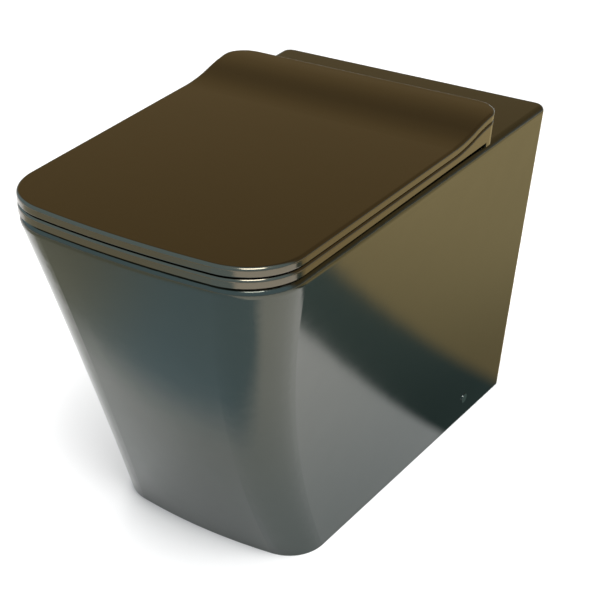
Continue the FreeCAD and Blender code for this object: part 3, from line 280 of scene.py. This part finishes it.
# %% [markdown]
# # The studio: a pale floor and soft light
# A mirror has no colour of its own to show, so the room makes the picture.
# The floor is plain and pale, wide enough to fill every view.
# Coloured cards lie round the object, as a photographer lays them, to put dark
# and warm shapes into the mirror. They are hidden from the camera and give no
# light or shadow, so they are seen in reflections and nowhere else.

# %% Pale floor
def stage_mesh(name, corners, height):
    """A flat piece of the stage with the given corners in X and Y."""
    mesh = bpy.data.meshes.new(name)
    shape = bmesh.new()
    shape.faces.new([shape.verts.new((x, y, height)) for x, y in corners])
    shape.to_mesh(mesh)
    shape.free()
    item = bpy.data.objects.new(name, mesh)
    bpy.context.scene.collection.objects.link(item)
    return item


def rectangle(low, high):
    """Corners of an upright rectangle in plan, anticlockwise."""
    return (low, (high[0], low[1]), high, (low[0], high[1]))


FLOOR_REACH = 12.0
floor = stage_mesh("floor", rectangle((-FLOOR_REACH, -FLOOR_REACH), (FLOOR_REACH, FLOOR_REACH)), 0.0)
paper = Finish("studio_paper", roughness=0.75, specular_ior_level=0.2)
PAPER_SHADES = ((0.86, 0.86, 0.86), (0.88, 0.88, 0.88))
paper.feed(base_color=paper.blend(paper.noise(3.0, detail=2.0), *PAPER_SHADES))
floor.data.materials.append(paper.material)

# %% Cards that only the mirror sees
def card(name, low, high, height, feather, left, right, turning):
    """A glowing card with soft edges, shaded from its left colour to its right one."""
    item = stage_mesh(name, rectangle(low, high), height)
    paint = Finish(name + "_paint")
    places = [paint.along(axis) for axis in "XY"]
    inside = 1.0
    for place, start, end in zip(places, low, high):
        inside = paint.ease(place, start, start + feather) * inside
        inside = paint.ease(place, end, end - feather) * inside
    shade = paint.blend(paint.ease(places[0], *turning), left, right)
    glow = paint.node("ShaderNodeEmission", {}, {"Color": shade})
    clear = paint.node("ShaderNodeBsdfTransparent", {}, {})
    both = paint.node("ShaderNodeMixShader", {}, {0: inside, 1: clear, 2: glow})
    ending = next(node for node in paint.tree.nodes if node.type == "OUTPUT_MATERIAL")
    paint.tree.links.new(both.socket, ending.inputs["Surface"])
    item.data.materials.append(paint.material)
    for kind in ("camera", "diffuse", "shadow", "transmission"):
        setattr(item, "visible_" + kind, False)


# The two cards on the right begin this far in from the side of the deck.
CARD_TUCK = 0.08
under = half_width - CARD_TUCK
card("dark_card", (under, 0.13), (1.3, 0.40), height=0.001, feather=0.025,
     left=(0.10, 0.15, 0.14), right=(0.16, 0.23, 0.215), turning=(0.18, 0.34))
card("warm_card", (under, back - 0.035), (2.2, 3.0), height=0.002, feather=0.05,
     left=(0.50, 0.385, 0.19), right=(0.84, 0.67, 0.34), turning=(0.18, 0.42))
card("slate_card", (-1.4, -2.2), (0.34, front + 0.03), height=0.001, feather=0.09,
     left=(0.76, 0.76, 0.62), right=(0.62, 0.85, 0.99), turning=(-0.42, -0.12))
print("cards hidden from the camera: 3")

# %% [markdown]
# # The room above the horizon
# Above the floor the mirror sees the walls and ceiling of the room.
# Behind the object they are a gradient by height: grey near the floor, warm
# brown where the lid looks, and a darker brown overhead. In front of it, where
# the rounded edges look, they are slate. A gradient costs nothing to render.
# The brown belongs to reflections only: the light that falls on the floor is
# kept neutral, or the pale paper would turn beige.

# %% Room
room = bpy.data.worlds.new("room")
room.use_nodes = True
bpy.context.scene.world = room
wires = room.node_tree
background = wires.nodes["Background"]
facing = wires.nodes.new("ShaderNodeTexCoord")
parts_of = wires.nodes.new("ShaderNodeSeparateXYZ")
wires.links.new(facing.outputs["Generated"], parts_of.inputs["Vector"])


def room_ramp(part, stops):
    """A gradient along one part of the direction looked in."""
    ramp = wires.nodes.new("ShaderNodeValToRGB")
    elements = ramp.color_ramp.elements
    while len(elements) < len(stops):
        elements.new(0.5)
    for element, (position, colour) in zip(elements, stops):
        element.position = position
        element.color = (*colour, 1.0)
    wires.links.new(parts_of.outputs[part], ramp.inputs["Fac"])
    return ramp.outputs["Color"]


def room_mix(share, first, second):
    """One colour or the other; each is a socket or a plain colour."""
    mix = wires.nodes.new("ShaderNodeMix")
    mix.data_type = "RGBA"
    wires.links.new(share, mix.inputs[0])
    for place, colour in ((6, first), (7, second)):
        if isinstance(colour, tuple):
            mix.inputs[place].default_value = (*colour, 1.0)
        else:
            wires.links.new(colour, mix.inputs[place])
    return mix.outputs[2]


behind = room_ramp("Z", (
    (0.00, (0.34, 0.38, 0.35)),
    (0.16, (0.34, 0.30, 0.22)),
    (0.30, (0.33, 0.235, 0.110)),
    (0.48, (0.35, 0.250, 0.115)),
    (0.80, (0.27, 0.200, 0.105)),
))
SLATE_IN_FRONT = (0.62, 0.90, 1.10)
GREY_FOR_LIGHT = (0.45, 0.45, 0.45)
turned_back = room_ramp("Y", ((0.20, (0.0, 0.0, 0.0)), (0.42, (1.0, 1.0, 1.0))))
mirrored = room_mix(turned_back, SLATE_IN_FRONT, behind)
ray = wires.nodes.new("ShaderNodeLightPath")
lit = room_mix(ray.outputs["Is Glossy Ray"], GREY_FOR_LIGHT, mirrored)
wires.links.new(lit, background.inputs["Color"])
print("room: grey to the floor, brown behind and slate in front to the mirror")

# %% [markdown]
# # Two soft lights
# One square panel in front, above and to the right draws the thin bright lines
# along the rounded edges. A much larger panel overhead lights the floor evenly,
# and is kept out of the mirror so that the lid stays brown.

# %% Lights
def panel(name, direction, distance, size, power, seen):
    """A square light that faces the middle of the object."""
    light = bpy.data.lights.new(name, "AREA")
    light.size = size
    light.energy = power
    item = bpy.data.objects.new(name, light)
    item.location = centre + Vector(direction).normalized() * distance
    item.rotation_mode = "QUATERNION"
    item.rotation_quaternion = (centre - item.location).to_track_quat("-Z", "Y")
    item.visible_glossy = seen
    bpy.context.scene.collection.objects.link(item)


panel("key_panel", (0.38, -0.40, 0.86), distance=2.4, size=1.0, power=42.0, seen=True)
panel("sky_panel", (0.0, 0.0, 1.0), distance=4.0, size=5.0, power=250.0, seen=False)

# %% [markdown]
# # The camera
# The camera looks down from the front and right, thirty degrees above level.
# It is placed by turning and tilting round the middle of the object, as on a
# tripod, and then rolled by three degrees.

# %% Camera
TURN, TILT, ROLL = math.radians(27.66), math.radians(29.99), math.radians(3.13)
DISTANCE = 1.263
ASIDE = Vector((0.0147, 0.0064, -0.0026))
FOCAL_LENGTH, FILM_WIDTH = 66.61, 36.0
outward = Vector((math.sin(TURN) * math.cos(TILT), -math.cos(TURN) * math.cos(TILT), math.sin(TILT)))
lens = bpy.data.cameras.new("camera")
lens.lens = FOCAL_LENGTH
lens.sensor_width = FILM_WIDTH
camera = bpy.data.objects.new("camera", lens)
camera.location = centre + ASIDE + outward * DISTANCE
camera.rotation_mode = "QUATERNION"
camera.rotation_quaternion = (-outward).to_track_quat("-Z", "Y") @ Quaternion((0, 0, 1), ROLL)
bpy.context.scene.collection.objects.link(camera)
bpy.context.scene.camera = camera
bpy.context.scene.view_settings.view_transform = "Standard"
